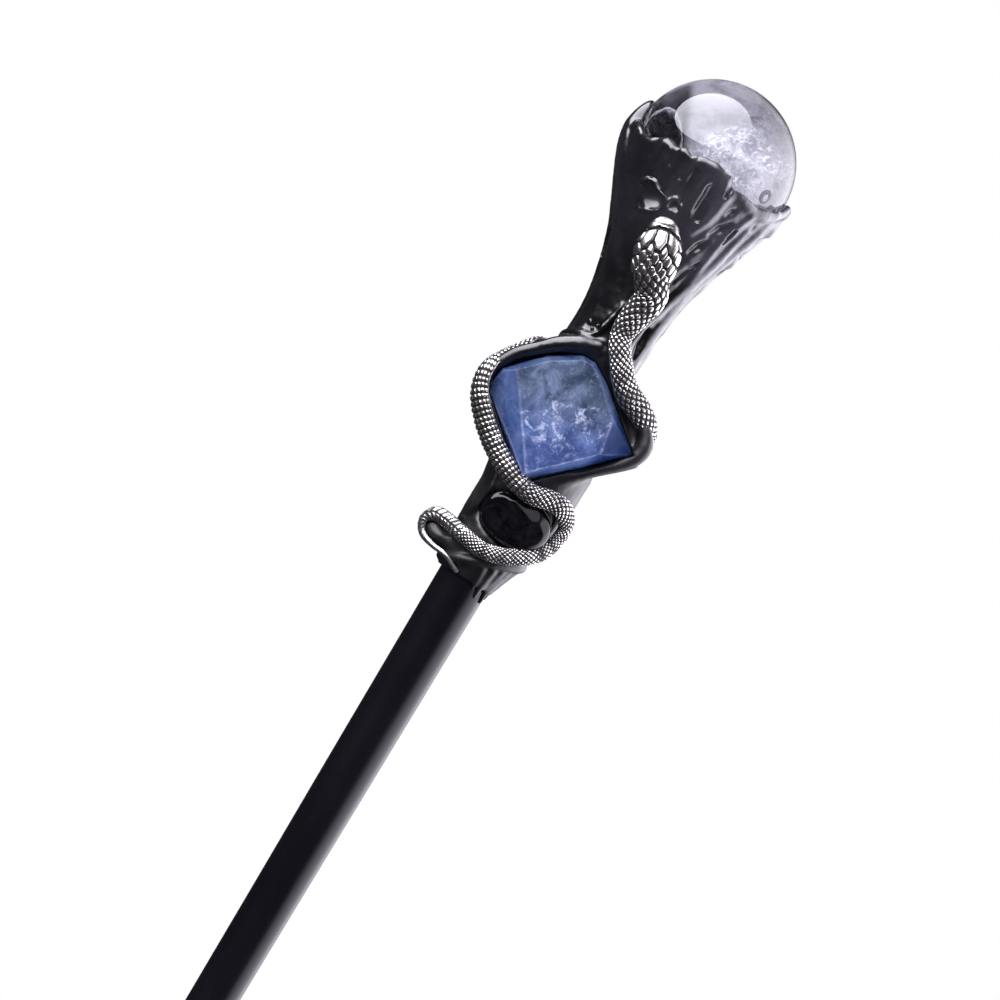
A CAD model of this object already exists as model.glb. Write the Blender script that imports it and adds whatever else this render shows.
# %% [markdown]
# # A black wand with a crystal ball and a silver snake
# The wand is a tapered lacquered rod with a head of black modelling clay. The clay carries a clear
# quartz ball, a raw blue octahedral crystal and a polished black stone, and a cast metal snake
# winds round it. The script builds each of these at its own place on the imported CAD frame.
# Lengths are worked out in millimetres and turned into metres when a mesh is made.

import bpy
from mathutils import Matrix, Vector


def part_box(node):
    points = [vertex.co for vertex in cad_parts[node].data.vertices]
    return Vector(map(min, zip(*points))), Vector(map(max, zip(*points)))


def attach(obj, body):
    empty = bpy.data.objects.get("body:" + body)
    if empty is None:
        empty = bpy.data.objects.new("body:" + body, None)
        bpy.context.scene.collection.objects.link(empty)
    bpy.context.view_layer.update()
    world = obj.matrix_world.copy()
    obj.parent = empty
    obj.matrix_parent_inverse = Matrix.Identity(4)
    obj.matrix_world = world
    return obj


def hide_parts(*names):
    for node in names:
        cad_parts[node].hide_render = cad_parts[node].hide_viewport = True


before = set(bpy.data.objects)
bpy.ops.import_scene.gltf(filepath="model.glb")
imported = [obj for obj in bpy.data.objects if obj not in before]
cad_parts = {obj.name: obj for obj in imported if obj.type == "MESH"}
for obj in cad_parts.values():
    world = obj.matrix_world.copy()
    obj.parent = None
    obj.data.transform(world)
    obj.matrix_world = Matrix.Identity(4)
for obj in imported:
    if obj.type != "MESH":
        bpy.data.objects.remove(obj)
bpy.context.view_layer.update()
print("frame nodes:", len(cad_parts))

# %% [markdown]
# Numpy works on whole blocks of voxels at once, and openvdb draws a smooth skin round them. The
# quick version uses larger voxels and fewer rings.

# %% Libraries
import math
import random

import bpy
import numpy as np
import openvdb
from mathutils import Matrix, Vector, noise

ROOT = "root"
MM = 0.001
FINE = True

# %% [markdown]
# ## Finding the main sizes
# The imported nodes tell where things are: the ball's middle, the gem's middle, and where the
# shaft ends and the clay starts. Everything else is placed from these.

# %% Sizes read from the frame


def box_mm(node):
    """A node's low and high corners in millimetres."""
    low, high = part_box(node)
    return np.array(low) / MM, np.array(high) / MM


ball_low, ball_high = box_mm("quartz_ball")
BALL = (ball_low + ball_high) / 2
BALL_R = (ball_high[2] - ball_low[2]) / 2
gem_low, gem_high = box_mm("fluorite_octahedron")
shaft_low, shaft_high = box_mm("shaft")
grip_low, grip_high = box_mm("grip_body")
FOOT_Z = grip_low[2]
SETTING_Z = grip_high[2]
NECK_Z = box_mm("neck")[0][2]
CUP_Z = box_mm("ball_cup")[0][2]
GEM_X = (gem_low[0] + gem_high[0]) / 2
GEM_Z = (SETTING_Z + NECK_Z) / 2
GEM_W = (gem_high[0] - gem_low[0]) / 2
GEM_H = (NECK_Z - SETTING_Z) / 2 - 1.6
GIRDLE_Y = gem_high[1] - 3.4
SHAFT_R = shaft_high[0]
print("ball", BALL.round(2), "gem", round(GEM_X, 2), round(GEM_Z, 2), "foot", FOOT_Z)

# %% [markdown]
# ## A small way to write shaders
# A finish is a material with its node tree. A shade is one output in it, and adding or
# multiplying shades adds Math nodes, so that a recipe reads as a formula.

# %% Shader helpers


def plug(tree, slot, value):
    """Puts a shade, a number or a colour into a socket."""
    if isinstance(value, Shade):
        tree.links.new(value.socket, slot)
    elif isinstance(value, (tuple, list)) and slot.type == "RGBA" and len(value) == 3:
        slot.default_value = (*value, 1.0)
    else:
        slot.default_value = value


class Shade:
    """One shader output, with arithmetic."""

    def __init__(self, tree, socket):
        self.tree, self.socket = tree, socket

    def math(self, operation, *others):
        node = self.tree.nodes.new("ShaderNodeMath")
        node.operation = operation
        for slot, value in zip(node.inputs, (self, *others)):
            plug(self.tree, slot, value)
        return Shade(self.tree, node.outputs[0])

    def __add__(self, other):
        return self.math("ADD", other)

    def __mul__(self, other):
        return self.math("MULTIPLY", other)

    def __sub__(self, other):
        return self.math("SUBTRACT", other)

    def __rsub__(self, other):
        return (self * -1.0) + other

    __radd__ = __add__
    __rmul__ = __mul__

    def step(self, low, high, start=0.0, end=1.0):
        """Runs smoothly from start to end while the shade runs from low to high."""
        node = self.tree.nodes.new("ShaderNodeMapRange")
        node.interpolation_type = "SMOOTHSTEP"
        for slot, value in zip(node.inputs, (self, low, high, start, end)):
            plug(self.tree, slot, value)
        return Shade(self.tree, node.outputs[0])


class Finish:
    """A material and the tree that makes it."""

    def __init__(self, name):
        self.material = bpy.data.materials.new(name)
        self.material.use_nodes = True
        self.tree = self.material.node_tree
        self.tree.nodes.clear()
        self.place = self.node("ShaderNodeTexCoord", output="Object")

    def node(self, kind, settings=None, inputs=None, output=0):
        """Adds any node: its settings first, then its sockets; gives one output."""
        node = self.tree.nodes.new(kind)
        for name, value in (settings or {}).items():
            setattr(node, name, value)
        for name, value in (inputs or {}).items():
            plug(self.tree, node.inputs[name], value)
        return Shade(self.tree, node.outputs[output])

    def grain(self, scale, detail=3.0, rough=0.55, stretch=(1, 1, 1), shift=(0, 0, 0), warp=0.0):
        """Fractal noise over the object, its scale in features a metre."""
        place = self.node(
            "ShaderNodeMapping",
            inputs={"Vector": self.place, "Scale": stretch, "Location": shift},
        )
        return self.node(
            "ShaderNodeTexNoise",
            inputs={
                "Vector": place,
                "Scale": scale,
                "Detail": detail,
                "Roughness": rough,
                "Distortion": warp,
            },
        )

    def cells(self, scale, feature="F1", stretch=(1, 1, 1)):
        """Distances in a pattern of random cells, its scale in cells a metre."""
        place = self.node("ShaderNodeMapping", inputs={"Vector": self.place, "Scale": stretch})
        return self.node("ShaderNodeTexVoronoi", {"feature": feature}, {"Vector": place, "Scale": scale})

    def carried(self, name):
        """A number that the mesh carries for each of its points."""
        return self.node("ShaderNodeAttribute", {"attribute_name": name}, output="Fac")

    def axis(self, name):
        """The object coordinate along X, Y or Z, in metres."""
        return self.node("ShaderNodeSeparateXYZ", inputs={0: self.place}, output=name)

    def blend(self, factor, first, second):
        """A colour that runs from first to second."""
        return self.node(
            "ShaderNodeMix",
            {"data_type": "RGBA"},
            {0: factor, 6: first, 7: second},
            output=2,
        )

    def bump(self, height, distance, strength):
        """A normal that is tilted as if the height were real relief, its distance in metres."""
        inputs = {"Height": height, "Distance": distance, "Strength": strength}
        return self.node("ShaderNodeBump", inputs=inputs)

    def surface(self, **values):
        """A Principled surface; names use underscores for the spaces."""
        inputs = {name.replace("_", " "): value for name, value in values.items()}
        return self.node("ShaderNodeBsdfPrincipled", inputs=inputs)

    def done(self, shader):
        """Ends the tree with this shader and gives the material."""
        out = self.tree.nodes.new("ShaderNodeOutputMaterial")
        self.tree.links.new(shader.socket, out.inputs["Surface"])
        return self.material


# %% [markdown]
# ## Making a piece
# Every piece is a mesh that rides on the wand's one body. Some replace CAD nodes, which then
# stay out of sight and only serve for collision.

# %% Piece helpers


def add_piece(name, points, faces, material, replaces=()):
    """Makes a mesh object from points in millimetres and ties it to the frame."""
    mesh = bpy.data.meshes.new(name)
    points = np.asarray(points, dtype=np.float64) * MM
    mesh.from_pydata(points.tolist(), [], [tuple(map(int, face)) for face in faces])
    mesh.validate()
    mesh.update()
    mesh.shade_smooth()
    mesh.materials.append(material)
    piece = bpy.data.objects.new(name, mesh)
    bpy.context.scene.collection.objects.link(piece)
    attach(piece, ROOT)
    for node in replaces:
        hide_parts(node)
    print(name, "points", len(mesh.vertices), "faces", len(mesh.polygons))
    return piece


def grid_faces(rows, columns, closed=True):
    """Quads between rows of points, with each row a ring if closed."""
    faces = []
    last = columns if closed else columns - 1
    for i in range(rows - 1):
        for j in range(last):
            k = (j + 1) % columns
            faces.append((i * columns + j, i * columns + k, (i + 1) * columns + k, (i + 1) * columns + j))
    return faces


def inside_out(faces):
    """The same faces, turned to look the other way."""
    return [face[::-1] for face in faces]


def directions(rows, columns):
    """Unit directions in rings, from almost straight up to almost straight down."""
    pole_gap = 0.0001
    for i in range(rows):
        tilt = math.pi * (i + pole_gap) / (rows - 1 + 2 * pole_gap)
        for j in range(columns):
            a = 2 * math.pi * j / columns
            yield Vector((math.sin(tilt) * math.cos(a), math.sin(tilt) * math.sin(a), math.cos(tilt)))


def carry(piece, name, values):
    """Stores a number for each point of a piece, for its finish to read."""
    attribute = piece.data.attributes.new(name, "FLOAT", "POINT")
    attribute.data.foreach_set("value", np.asarray(values, dtype=np.float32))


# %% [markdown]
# ## Black lacquer and the shaft
# The shaft is a turned hardwood rod, sprayed satin black. The lacquer has a faint orange peel
# and lets the long grain show through as shallow lines. The rod is swept from a profile with a
# small rounded end, and its radius wanders by a hundredth of a millimetre, as a sanded rod's does.

# %% Lacquer finish
lacquer = Finish("satin black lacquer")
lines = lacquer.grain(900, 3, 0.6, stretch=(1, 1, 0.03))
peel = lacquer.grain(1500, 2, 0.5)
cloud = lacquer.grain(60, 3, 0.6, stretch=(1, 1, 0.3))
tint = lacquer.blend(cloud.step(0.35, 0.7), (0.0042, 0.0038, 0.0066), (0.0062, 0.0056, 0.0092))
skin_normal = lacquer.bump(lines * 0.6 + peel * 0.4, 0.00004, 0.5)
lacquer_material = lacquer.done(
    lacquer.surface(
        Base_Color=tint,
        Roughness=cloud.step(0.3, 0.75, 0.20, 0.27),
        Normal=skin_normal,
        Specular_IOR_Level=0.22,
    )
)

# %% [markdown]
# The rod is a stack of rings. The first few are close together and round off the tip, and the
# last one ends inside the clay.

# %% Shaft
SIDES = 128
TIP_R = 4.05
WANDER = 0.012
levels = [0.0, 0.0, 0.35, 0.8, 1.2, 2.0] + list(np.linspace(6, FOOT_Z - 2, 60)) + [FOOT_Z + 6]
radii = []
for i, z in enumerate(levels):
    r = TIP_R + (SHAFT_R - TIP_R) * z / FOOT_Z
    edge = [0.0, r - 1.2, r - 0.42, r - 0.09, r, r]
    radii.append(edge[i] if i < len(edge) else min(r, SHAFT_R) + WANDER * math.sin(z * 0.11))
rings = []
for z, r in zip(levels, radii):
    for k in range(SIDES):
        a = 2 * math.pi * k / SIDES
        rings.append((r * math.cos(a), r * math.sin(a), z))
add_piece(
    "lacquered_shaft",
    rings,
    grid_faces(len(levels), SIDES),
    lacquer_material,
    replaces=["shaft"],
)

# %% [markdown]
# ## Clay as a block of distances
# The head is modelled by hand in soft clay: trunks, strands and folds are pressed together and
# blend into each other, and slots are pushed in with a tool. That is what a field of distances
# does well. Each voxel holds the distance to the clay's surface, a smooth minimum presses a
# piece on, and a smooth maximum cuts one away. The surface is drawn off at the end.

# %% Clay block
FAR_AWAY = 4.0


def soft_max(a, b, blend):
    """The larger of two distances, rounded off where they meet."""
    near = np.maximum(blend - np.abs(a - b), 0) / blend
    return np.maximum(a, b) + near * near * blend / 4


def soft_min(a, b, blend):
    """The smaller of two distances, with a fillet where they meet."""
    near = np.maximum(blend - np.abs(a - b), 0) / blend
    return np.minimum(a, b) - near * near * blend / 4


class Clay:
    """A block of voxels that clay is added to and cut from."""

    def __init__(self, low, high, step):
        self.low, self.step = np.array(low, dtype=float), step
        self.count = np.ceil((np.array(high) - self.low) / step).astype(int) + 1
        self.field = np.full(self.count, FAR_AWAY, dtype=np.float32)

    def window(self, low, high):
        """The slices and coordinates of a part of the block."""
        first = np.floor((np.array(low) - self.low) / self.step).astype(int)
        last = np.ceil((np.array(high) - self.low) / self.step).astype(int) + 1
        first = np.clip(first, 0, self.count)
        last = np.clip(last, first, self.count)
        part = tuple(slice(a, b) for a, b in zip(first, last))
        ends = [self.low[i] + self.step * np.arange(first[i], last[i]) for i in range(3)]
        x, y, z = np.meshgrid(*ends, indexing="ij", sparse=True)
        return part, x, y, z

    def add(self, shape, low, high, blend):
        """Presses a shape on within the corners low and high."""
        part, x, y, z = self.window(low, high)
        self.field[part] = soft_min(self.field[part], shape(x, y, z), blend)

    def cut(self, shape, low, high, blend):
        """Cuts a shape away within the corners low and high."""
        part, x, y, z = self.window(low, high)
        self.field[part] = soft_max(self.field[part], -shape(x, y, z), blend)

    def strand(self, points, radii, blend, carve=False):
        """A rope of clay through points, or a channel where it is carved."""
        points = [np.array(p, dtype=float) for p in points]
        reach = max(radii) + blend + 1.0
        low = np.min(points, axis=0) - reach
        high = np.max(points, axis=0) + reach
        (self.cut if carve else self.add)(rope(points, radii), low, high, blend)

    def lump(self, centre, sizes, blend, carve=False):
        """An egg of clay with its three half sizes, or a hollow of that shape."""
        centre, sizes = np.array(centre, dtype=float), np.array(sizes, dtype=float)
        reach = sizes + blend + 1.0
        shape = egg(centre, sizes)
        (self.cut if carve else self.add)(shape, centre - reach, centre + reach, blend)

    def draw(self):
        """The surface's points and quads."""
        grid = openvdb.FloatGrid()
        grid.copyFromArray(self.field)
        points, quads = grid.convertToQuads(isovalue=0.0)
        points = points.astype(float) * self.step + self.low
        return points, quads


def rope(points, radii):
    """The distance to a chain of tapered rods."""

    def shape(x, y, z):
        best = None
        for a, b, r0, r1 in zip(points, points[1:], radii, radii[1:]):
            d = b - a
            t = ((x - a[0]) * d[0] + (y - a[1]) * d[1] + (z - a[2]) * d[2]) / max(d @ d, 1e-9)
            t = np.clip(t, 0, 1)
            away = np.sqrt(
                (x - a[0] - t * d[0]) ** 2 + (y - a[1] - t * d[1]) ** 2 + (z - a[2] - t * d[2]) ** 2
            )
            away = away - (r0 + (r1 - r0) * t)
            best = away if best is None else np.minimum(best, away)
        return best

    return shape


def egg(centre, sizes):
    """The distance to an egg, near enough close to its skin."""

    def shape(x, y, z):
        q = np.sqrt(
            ((x - centre[0]) / sizes[0]) ** 2
            + ((y - centre[1]) / sizes[1]) ** 2
            + ((z - centre[2]) / sizes[2]) ** 2
        )
        return (q - 1) * min(sizes)

    return shape


def curve_points(points, steps=6):
    """Points on a smooth curve through the given ones."""
    points = [np.array(p, dtype=float) for p in points]
    ends = [2 * points[0] - points[1], *points, 2 * points[-1] - points[-2]]
    out = []
    for a, b, c, d in zip(ends, ends[1:], ends[2:], ends[3:]):
        for i in range(steps):
            t = i / steps
            out.append(
                b
                + (c - a) * (0.5 * t)
                + (2 * a - 5 * b + 4 * c - d) * (0.5 * t * t)
                + (3 * b - a - 3 * c + d) * (0.5 * t**3)
            )
    out.append(points[-1])
    return out


def curve_values(values, steps=6):
    """Values that go with curve_points, straight between the given ones."""
    out = []
    for a, b in zip(values, values[1:]):
        out += [a + (b - a) * i / steps for i in range(steps)]
    return out + [values[-1]]


# %% [markdown]
# ## The clay's trunk
# The trunk runs from the foot, where it closes round the shaft, through a slim grip, a belly
# behind the gem and a neck, and opens into the cup. It could be lofted through rings, but as a
# field of distances it can be pressed together with everything else. Its radius is given at a run
# of heights on four sides, and goes evenly from one to the next.

# %% Trunk profile
HEIGHTS = FOOT_Z + np.array(
    [-1.0, 3.5, 7.5, 13.5, 19.5, 24.5, 29.5, 37.5, 47.5, 52.5, 57.5]
    + [62.5, 67.5, 72.5, 78, 83, 88, 93, 96, 99, 103]
)
RIGHT = [6.3, 7.9, 9.5, 11.0, 11.7, 12.3, 12.4, 11.0, 9.2, 8.5, 8.5]
RIGHT += [8.2, 9.1, 10.0, 11.5, 13.5, 15.4, 17.5, 18.5, 18.8, 18.8]
BACK = [6.2, 7.6, 8.4, 9.2, 9.6, 10.0, 10.2, 9.8, 9.2, 8.8, 8.6]
BACK += [8.5, 9.0, 9.8, 11.3, 13.4, 15.5, 17.6, 18.5, 18.8, 18.8]
LEFT = [6.2, 7.2, 7.7, 7.8, 7.8, 8.6, 9.4, 9.6, 9.0, 8.3, 7.8]
LEFT += [7.8, 8.5, 9.7, 11.4, 13.7, 16.1, 18.2, 18.8, 18.9, 18.8]
FRONT = [6.2, 7.6, 8.6, 9.0, 9.6, 10.2, 10.4, 10.0, 9.0, 8.6, 8.5]
FRONT += [8.4, 8.9, 9.8, 11.3, 13.4, 15.4, 17.6, 18.5, 18.8, 18.8]


def trunk_radius(z, c, s):
    """Radius at height z towards the direction whose cosine and sine are c and s."""
    side = np.where(c > 0, np.interp(z, HEIGHTS, RIGHT), np.interp(z, HEIGHTS, LEFT))
    fore = np.where(s > 0, np.interp(z, HEIGHTS, BACK), np.interp(z, HEIGHTS, FRONT))
    return side * c * c + fore * s * s


def on_trunk(z, azimuth, lift=0.0):
    """A point over the trunk at an azimuth in degrees: 0 is +X and -90 the front."""
    a = math.radians(azimuth)
    r = float(trunk_radius(z, math.cos(a), math.sin(a))) + lift
    return np.array([r * math.cos(a), r * math.sin(a), z])


def on_face(x, z, lift=0.0):
    """The point on the trunk's front that is seen at a sideways place and height."""
    a = -math.pi / 2
    for _ in range(6):
        r = float(trunk_radius(z, math.cos(a), math.sin(a))) + lift
        a = -math.acos(max(-0.999, min(0.999, x / r)))
    return np.array([r * math.cos(a), r * math.sin(a), z])


print("trunk from", round(HEIGHTS[0], 1), "to", round(HEIGHTS[-1], 1), "mm up the wand")

# %% [markdown]
# The cup is a shell round the ball's lower half. Its rim is torn into lobes in front, stands up
# in a claw on the right and in a tall petal at the back left. A list of azimuths and heights over
# the ball's middle is the plainest way to set such a rim by eye.

# %% Rim of the cup
RIM = [
    (-180, -1.8), (-160, -1.4), (-145, -3.5), (-136, -3.7), (-124, -2.4), (-116, -3.3), (-110, -2.1),
    (-103, -3.3), (-96, -2.2), (-88, -2.1), (-82, -2.5), (-76, -4.0), (-70, -4.8), (-63, -4.2),
    (-54, -4.7), (-45, -5.0), (-34, -4.3), (-18, -2.4), (-4, -0.2), (10, -0.9), (24, -2.6), (45, -3.8),
    (74, -3.6), (87, -2.8), (93, -0.4), (98, 2.2), (103, 5.0), (108, 7.4), (114, 8.0), (122, 5.6),
    (131, 1.2), (142, -1.8), (180, -1.8),
]


def rim_height(x, y):
    """How high the cup reaches in the direction of a point."""
    turn = np.degrees(np.arctan2(y, x))
    return BALL[2] + np.interp(turn, [a for a, _ in RIM], [h for _, h in RIM])


print("rim from", min(h for _, h in RIM), "to", max(h for _, h in RIM), "mm over the ball's middle")

# %% [markdown]
# The trunk, the dish behind the gem and a slab for its bed are each a small function that gives
# the distance to their skin. Measured straight out from the axis, a wall that flares seems
# farther off than it is, and a factor under one corrects that.

# %% Trunk, dish and slab
CUP_WALL = 1.35
WALL_FLARE, RIM_FLARE = 0.86, 0.7


def lumpiness(x, y, z):
    """A slow unevenness of hand-rolled clay."""
    broad = 0.09 * np.sin(0.55 * x + 0.21 * z + 1.0) * np.sin(0.5 * y - 0.17 * z)
    return broad + 0.025 * np.sin(1.3 * x - 0.9 * y + 0.6 * z)


def trunk(x, y, z):
    """The distance to the trunk and its cup."""
    rho = np.sqrt(x * x + y * y) + 1e-6
    away = (rho - trunk_radius(z, x / rho, y / rho)) * WALL_FLARE + lumpiness(x, y, z)
    from_ball = np.sqrt(x * x + y * y + (z - BALL[2]) ** 2)
    shell = from_ball - (BALL_R + CUP_WALL + 0.2 * np.sin(x * 0.9) * np.sin(z * 0.7))
    away = np.where(z > BALL[2] - 2, np.maximum(away, shell), away)
    top = (z - rim_height(x, y)) * RIM_FLARE
    bottom = FOOT_Z - 0.6 - z
    return np.maximum(soft_max(away, top, 0.9), bottom)


def dish(x, y, z):
    """The bowl of clay behind the gem, a shallow four-sided pan."""
    deep = np.clip((y - (GIRDLE_Y - 0.6)) / 11.0, 0, 1)
    size = 1.0 - 0.36 * deep
    wide, tall = GEM_W + 2.3, GEM_H + 2.1
    edge = (np.abs(x - GEM_X) / wide + np.abs(z - GEM_Z) / tall - size) * (
        wide * tall / math.hypot(wide, tall)
    )
    face = np.maximum((GIRDLE_Y - 0.6) - y, y - (GIRDLE_Y + 9.5))
    return soft_max(edge, face, 1.6)


def plate(outline, near_y, far_y, rounding):
    """A slab with an outline of sideways places and heights, between two depths."""
    points = np.array(outline)

    def shape(x, y, z):
        px, pz = x + 0 * z, z + 0 * x
        away = np.full(np.broadcast(px, pz).shape, 1e9)
        inside = np.zeros(away.shape, dtype=bool)
        for (x0, z0), (x1, z1) in zip(points, np.roll(points, -1, axis=0)):
            ex, ez = x1 - x0, z1 - z0
            t = np.clip(((px - x0) * ex + (pz - z0) * ez) / (ex * ex + ez * ez), 0, 1)
            away = np.minimum(away, (px - x0 - t * ex) ** 2 + (pz - z0 - t * ez) ** 2)
            if abs(ez) > 1e-6:
                crosses = (z0 > pz) != (z1 > pz)
                inside ^= crosses & (px < x0 + (pz - z0) * ex / ez)
        away = np.where(inside, -np.sqrt(away), np.sqrt(away))
        thick = np.maximum(near_y - y, y - far_y)
        return soft_max(away, thick, rounding)

    return shape


# %% [markdown]
# ## Pressing it together
# The block only spans the head. Small voxels keep the thin lips sharp. The quick version uses
# larger ones, which are less than a third as many.

# %% Press the clay together
STEP = 0.3 if FINE else 0.45
clay = Clay((-22, -22, FOOT_Z - 5), (22, 22, BALL[2] + 9.5), STEP)
clay.add(trunk, (-22, -22, FOOT_Z - 2), (22, 22, BALL[2] + 9.5), 0.3)
clay.add(dish, (-21, -10, GEM_Z - 20), (21, 6, GEM_Z + 20), 2.2)
print("clay block", clay.field.shape, "voxels of", STEP, "mm")

# %% [markdown]
# ### Folds and strands
# A rolled ridge closes the gem's upper left edge and sweeps up into the neck as a fold. A
# glossy lug holds the gem's right corner and thins out along its lower edge. Slots run up the
# right of the neck and cup, where strands were laid on and not quite smoothed together.

# %% Ridges round the gem
# The lines below are laid out with the gem's middle at this height, then moved to where it is
LAYOUT_Z = 269.8
shift_z = GEM_Z - LAYOUT_Z
RIM_Y = GIRDLE_Y - 1.0
ridge = [(-17.3, 269.6), (-16.8, 273.4), (-14.6, 277.4), (-11.6, 280.4)]
ridge += [(-8.2, 283.4), (-4.4, 285.7), (-0.8, 287.2)]
clay.strand(
    curve_points([(x, RIM_Y - 0.1 - 0.5 * (x > -9), z + shift_z) for x, z in ridge]),
    curve_values([0.7, 1.2, 1.35, 1.4, 1.7, 1.9, 1.2]),
    1.2,
)
lip = [(-10.2, 284.6), (-8.2, 286.4), (-5.8, 287.7), (-3.6, 288.6)]
lip += [(-2.2, 290.8), (-1.4, 293.6), (-0.9, 297.0)]
clay.strand(
    curve_points([on_face(x, z + shift_z, 0.25) for x, z in lip]),
    curve_values([0.5, 0.8, 0.8, 0.75, 0.7, 0.6, 0.3]),
    0.9,
)
lug = [(13.6, 279.2), (16.6, 277.0), (18.0, 274.4), (17.7, 271.8)]
lug += [(15.9, 269.0), (12.6, 265.6), (7.6, 260.6), (2.6, 256.0)]
clay.strand(
    curve_points([(x, RIM_Y + 0.1 + 0.2 * (x > 15), z + shift_z) for x, z in lug]),
    curve_values([0.8, 1.4, 1.75, 1.7, 1.4, 1.15, 0.95, 0.8]),
    1.0,
)
lower_left = [(-13.5, 0.9, 266.3), (-8.0, 0.7, 261.0), (-1.5, 0.4, 255.0)]
clay.strand([(x, RIM_Y + y, z + shift_z) for x, y, z in lower_left], [1.0, 1.1, 1.0], 1.2)
bed = ridge[:-1] + [(3.0, 287.0), (8.6, 282.6)] + lug + [(-1.5, 254.6), (-8.0, 260.6), (-13.8, 265.6)]
bed_shape = plate([(x, z + shift_z) for x, z in bed], GIRDLE_Y + 0.2, GIRDLE_Y + 5.5, 1.5)
clay.add(bed_shape, (-21, GIRDLE_Y - 1, GEM_Z - 20), (21, GIRDLE_Y + 8, GEM_Z + 20), 1.5)
print("gem bed outline", len(bed), "points, at depth", round(RIM_Y, 2))

# %% [markdown]
# Strands are ropes of clay on smooth curves that lie on the trunk. The first list is set by hand,
# because these strands show most. Slots are short channels pressed between them.

# %% Strands up the neck and the cup
SIDE_STRANDS = [
    ([(3.9, 287.5), (4.4, 292), (5.4, 297.5), (7.0, 303.5), (9.2, 310), (11.0, 315)], 0.8),
    ([(7.9, 290), (7.7, 297), (8.7, 304), (10.5, 311), (12.8, 318), (15.2, 324), (16.6, 330)], 0.9),
    ([(6.2, 299), (8.0, 307), (8.9, 313), (9.9, 319), (12.4, 326)], 0.7),
    ([(3.2, 317), (4.8, 321), (5.6, 326.5), (4.6, 330.0)], 1.1),
    ([(0.4, 321), (0.6, 325), (1.2, 330.0)], 1.6),
    ([(-4.6, 323), (-4.2, 326), (-3.2, 329.6)], 1.2),
    ([(-9.8, 324), (-9.6, 327), (-10.2, 329.6)], 1.1),
]
for path, radius in SIDE_STRANDS:
    ends = [0.5] + [1.0] * (len(path) - 2) + [0.6]
    clay.strand(
        curve_points([on_face(x, z + shift_z, -0.35 * radius) for x, z in path]),
        curve_values([radius * e for e in ends]),
        1.3,
    )
SIDE_LUMPS = [(291.5, -8, 0.9), (297.5, -4, 1.1), (309.5, -2, 0.9)]
SIDE_LUMPS += [(317.2, -8, 1.3), (321.5, -16, 1.2), (326.5, -5, 1.1)]
for z, azimuth, size in SIDE_LUMPS:
    clay.lump(on_trunk(z + shift_z, azimuth, -0.35 * size), (size, size, 1.7 * size), 1.4)
# Pairs of ends, in sideways place and height, and the tool's radius
SLOTS = [
    (6.8, 289.2, 6.3, 295.2, 1.25), (7.9, 298.2, 9.5, 302.4, 0.6), (5.5, 313.2, 7.4, 317.0, 0.85),
    (7.4, 318.4, 9.7, 322.2, 1.0), (10.3, 318.4, 11.1, 322.0, 0.5), (11.2, 314.8, 12.0, 318.8, 0.75),
    (14.2, 328.6, 15.6, 327.8, 0.85), (8.3, 323.6, 9.2, 325.4, 0.7), (7.5, 310.6, 8.3, 312.6, 0.45),
    (5.6, 306.5, 7.0, 310.5, 0.5), (13.0, 321.0, 14.2, 324.6, 0.5), (3.6, 319.6, 3.9, 322.8, 0.45),
    (-13.3, 306.5, -14.6, 311.5, 0.5),
]
TOOL_GROWTH = 1.15
WIDEST_X = 15.6
for x0, z0, x1, z1, radius in SLOTS:
    radius *= TOOL_GROWTH
    a = on_face(min(x0, WIDEST_X), z0 + shift_z, 0.15 * radius)
    b = on_face(min(x1, WIDEST_X), z1 + shift_z, 0.15 * radius)
    clay.strand([a, (a + b) / 2, b], [0.55 * radius, radius, 0.6 * radius], 0.5, carve=True)
print("side strands", len(SIDE_STRANDS), "lumps", len(SIDE_LUMPS), "slots", len(SLOTS))

# %% [markdown]
# The sides and the back carry the same texture. A seeded draw lays strands up the neck and cup
# there and presses slots between them.

# %% Strands and slots on the sides and back
draw = random.Random(7)
STRANDS_ROUND, SLOTS_ROUND = 17, 26
for i in range(STRANDS_ROUND):
    azimuth = -22 + 200 * i / (STRANDS_ROUND - 1) + draw.uniform(-5, 5)
    low = NECK_Z + draw.uniform(0, 8)
    high = BALL[2] - draw.uniform(4, 12)
    drift = draw.uniform(-14, 14)
    size = draw.uniform(0.7, 1.2)
    heights = np.linspace(low, high, 6)
    path = [on_trunk(z, azimuth + drift * k / 5, -0.3 * size) for k, z in enumerate(heights)]
    clay.strand(curve_points(path, 3), curve_values([0.3 * size, *[size] * 4, 0.5 * size], 3), 1.4)
for i in range(SLOTS_ROUND):
    azimuth = draw.uniform(-18, 186)
    z = draw.uniform(NECK_Z + 4, BALL[2] - 7)
    size = draw.uniform(0.4, 0.85)
    long = draw.uniform(2.5, 5.5)
    a, b = on_trunk(z, azimuth, 0.1), on_trunk(z + long, azimuth + draw.uniform(-8, 8), 0.1)
    clay.strand([a, (a + b) / 2, b], [0.5 * size, size, 0.5 * size], 0.5, carve=True)
print("drawn strands", STRANDS_ROUND, "slots", SLOTS_ROUND)

# %% [markdown]
# ### Petals, folds and dimples
# A tall leaf of clay stands at the ball's left, hollow along its middle. It follows the ball, so
# it is a piece of a shell, cut to a leaf's outline.

# %% Left leaf
LEAF_TOP = BALL[2] + 4.9


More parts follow.
